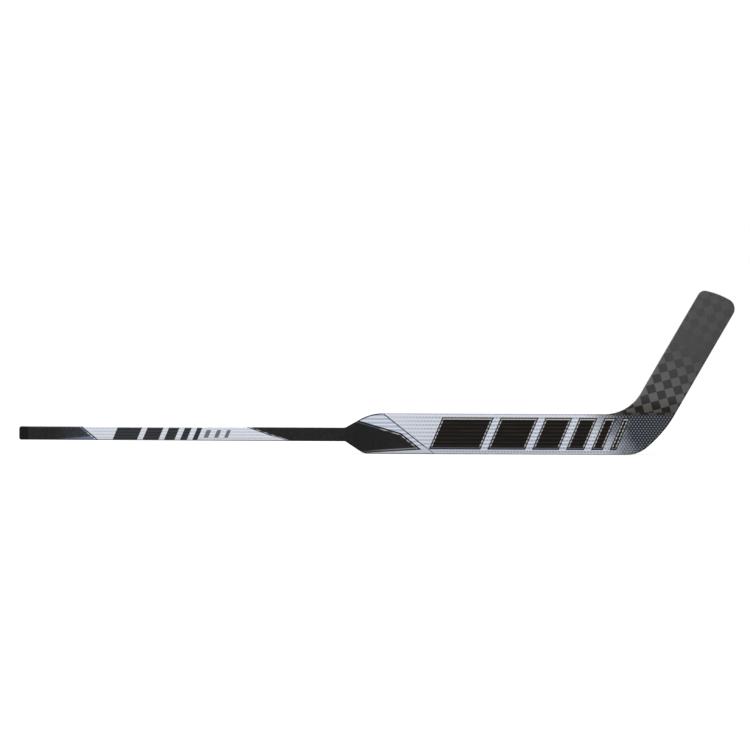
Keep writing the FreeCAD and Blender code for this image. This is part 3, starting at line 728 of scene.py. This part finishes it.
def makeFloorPaint():
    new = floorSettings
    paint = bpy.data.materials.new("floorPaint")
    paint.use_nodes = True
    tree = paint.node_tree
    tree.nodes.clear()
    matte = tree.nodes.new("ShaderNodeBsdfDiffuse")
    matte.inputs["Color"].default_value = new["paint"]
    length = tree.nodes.new("ShaderNodeVectorMath")
    length.operation = "LENGTH"
    tree.links.new(tree.nodes.new("ShaderNodeTexCoord").outputs["Object"], length.inputs[0])
    away = Field(tree, length.outputs["Value"]).rise(*new["glowReach"])
    glow = tree.nodes.new("ShaderNodeEmission")
    feed(tree, glow.inputs["Strength"], seenRays(tree) * away.spread(*new["glow"]))
    both = tree.nodes.new("ShaderNodeAddShader")
    tree.links.new(matte.outputs[0], both.inputs[0])
    tree.links.new(glow.outputs[0], both.inputs[1])
    output = tree.nodes.new("ShaderNodeOutputMaterial")
    tree.links.new(both.outputs[0], output.inputs["Surface"])
    return paint


def makeFloor():
    half, lines = floorSettings["half"], floorSettings["lines"]
    side = np.linspace(-half, half, lines)
    u, v = np.meshgrid(side, side, indexing="ij")
    points = np.stack((u, v, u * 0), axis=-1).reshape(-1, 3)
    cell = np.arange(lines - 1)
    first = (cell[:, None] * lines + cell).ravel()
    faces = np.stack((first, first + lines, first + lines + 1, first + 1), axis=-1)
    mesh = bpy.data.meshes.new("floor")
    mesh.from_pydata(points.tolist(), [], faces.tolist())
    mesh.materials.append(makeFloorPaint())
    floor = bpy.data.objects.new("floor", mesh)
    scene.collection.objects.link(floor)


# soft studio: grey light all round, white to the camera and in reflections, and wide lamps above; in metres
studioSettings = {
    "white": (1.0, 1.0, 1.0, 1.0), "ambient": 0.36, "aim": (-0.27, 0.0, 0.1),
    "lamps": {
        "overFront": {"at": (-0.6, -3.4, 3.0), "size": (4.0, 2.0), "power": 148.0},
        "overBack": {"at": (0.2, 3.2, 2.2), "size": (4.0, 1.6), "power": 75.0},
    },
}


# a rectangle of light that faces the aim, its long side level
def makeLamp(name, new, aim):
    data = bpy.data.lights.new(name, "AREA")
    data.shape = "RECTANGLE"
    data.size, data.size_y = new["size"]
    data.energy = new["power"]
    back = np.array(new["at"]) - np.array(aim)
    back = back / np.linalg.norm(back)
    right = np.cross((0.0, 0.0, 1.0), back)
    right = right / np.linalg.norm(right)
    lamp = bpy.data.objects.new(name, data)
    lamp.matrix_world = Matrix(np.column_stack((right, np.cross(back, right), back)).tolist()).to_4x4()
    lamp.location = new["at"]
    scene.collection.objects.link(lamp)


def makeStudio():
    new = studioSettings
    world = bpy.data.worlds.new("studio")
    scene.world = world
    world.use_nodes = True
    tree = world.node_tree
    tree.nodes.clear()
    light = tree.nodes.new("ShaderNodeBackground")
    light.inputs["Color"].default_value = new["white"]
    feed(tree, light.inputs["Strength"], seenRays(tree).spread(new["ambient"], 1.0))
    output = tree.nodes.new("ShaderNodeOutputWorld")
    tree.links.new(light.outputs[0], output.inputs["Surface"])
    for name, lamp in new["lamps"].items():
        makeLamp(name, lamp, new["aim"])


# camera square on to the front, far off, turned a little about its own axis; frameWidth is what it sees
# at faceDepth before the middle of the stick, in metres, and the sensor is in millimetres
cameraSettings = {
    "aim": (-0.2710, 0.1725), "distance": 8.0, "faceDepth": 0.008, "frameWidth": 1.6425,
    "roll": 0.0047, "sensor": 36.0,
}


def makeCamera():
    new = cameraSettings
    data = bpy.data.cameras.new("camera")
    data.sensor_width = new["sensor"]
    data.lens = new["sensor"] * (new["distance"] - new["faceDepth"]) / new["frameWidth"]
    camera = bpy.data.objects.new("camera", data)
    cos, sin = math.cos(new["roll"]), math.sin(new["roll"])
    camera.matrix_world = Matrix(((cos, -sin, 0.0), (0.0, 0.0, -1.0), (sin, cos, 0.0))).to_4x4()
    camera.location = (new["aim"][0], -new["distance"], new["aim"][1])
    scene.collection.objects.link(camera)
    scene.camera = camera


makeFloor()
makeStudio()
makeCamera()
print("studio set")
